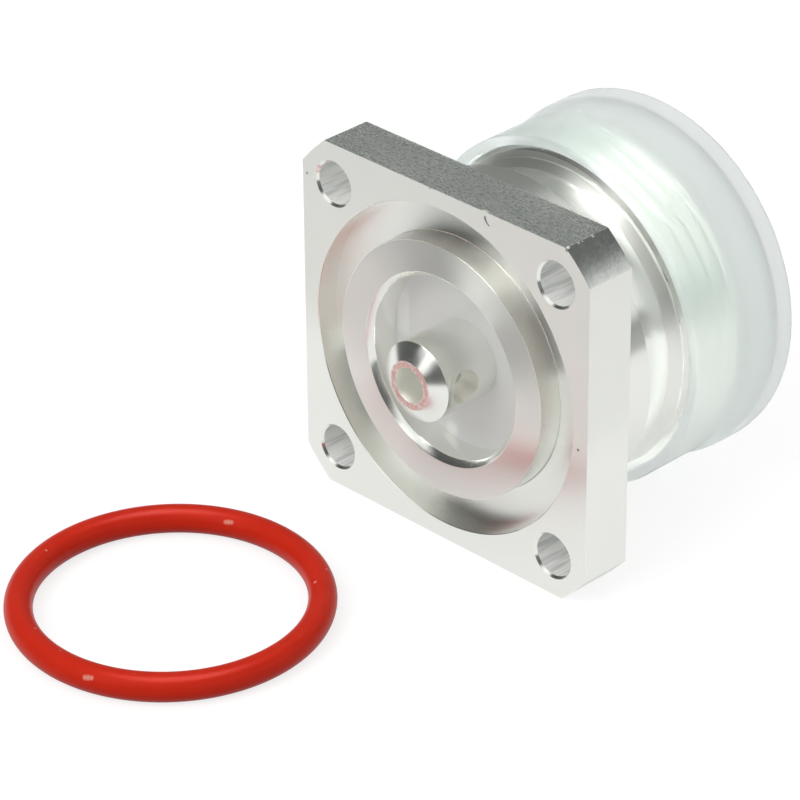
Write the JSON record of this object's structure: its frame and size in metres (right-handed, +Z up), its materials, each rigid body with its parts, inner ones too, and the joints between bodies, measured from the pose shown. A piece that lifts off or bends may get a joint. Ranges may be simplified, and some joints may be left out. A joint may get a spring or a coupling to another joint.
{
  "type": "coaxial panel connector",
  "caption": "Square-flange coaxial panel jack with solder cup, threaded mating end under a translucent push-on cap, and its flange O-ring lying beside it.",
  "frame": {"origin": "centre of the flange's rear face, on the connector's axis, where it seats on the panel", "axes": "+Y along the connector's axis towards the mating end, -Y the way the flange's rear face and the solder cup look, +Z up with the connector lying on its flange's lower edge"},
  "size_m": [0.0372, 0.0623, 0.032],
  "materials": {
    "silver_plated_shell": "bright silver plating over turned and milled brass",
    "silver_plated_ring": "bright silver plating over turned brass",
    "silver_plated_contact": "bright silver plating over turned bronze",
    "bead_plastic": "smooth translucent pale grey plastic",
    "cap_plastic": "milky translucent greenish-white soft plastic",
    "red_silicone": "satin red silicone"
  },
  "bodies": {
    "connector": {"shell": "silver_plated_shell", "insulator": "bead_plastic", "press_ring": "silver_plated_ring", "centre_contact": "silver_plated_contact", "flange_o_ring": "red_silicone"},
    "cap": {"protective_cap": "cap_plastic"}
  },
  "joints": [
    {"name": "cap_pull", "type": "slide", "parent": "connector", "child": "cap", "axis": [0, 1, 0], "range_m": [0, 0.035]}
  ]
}
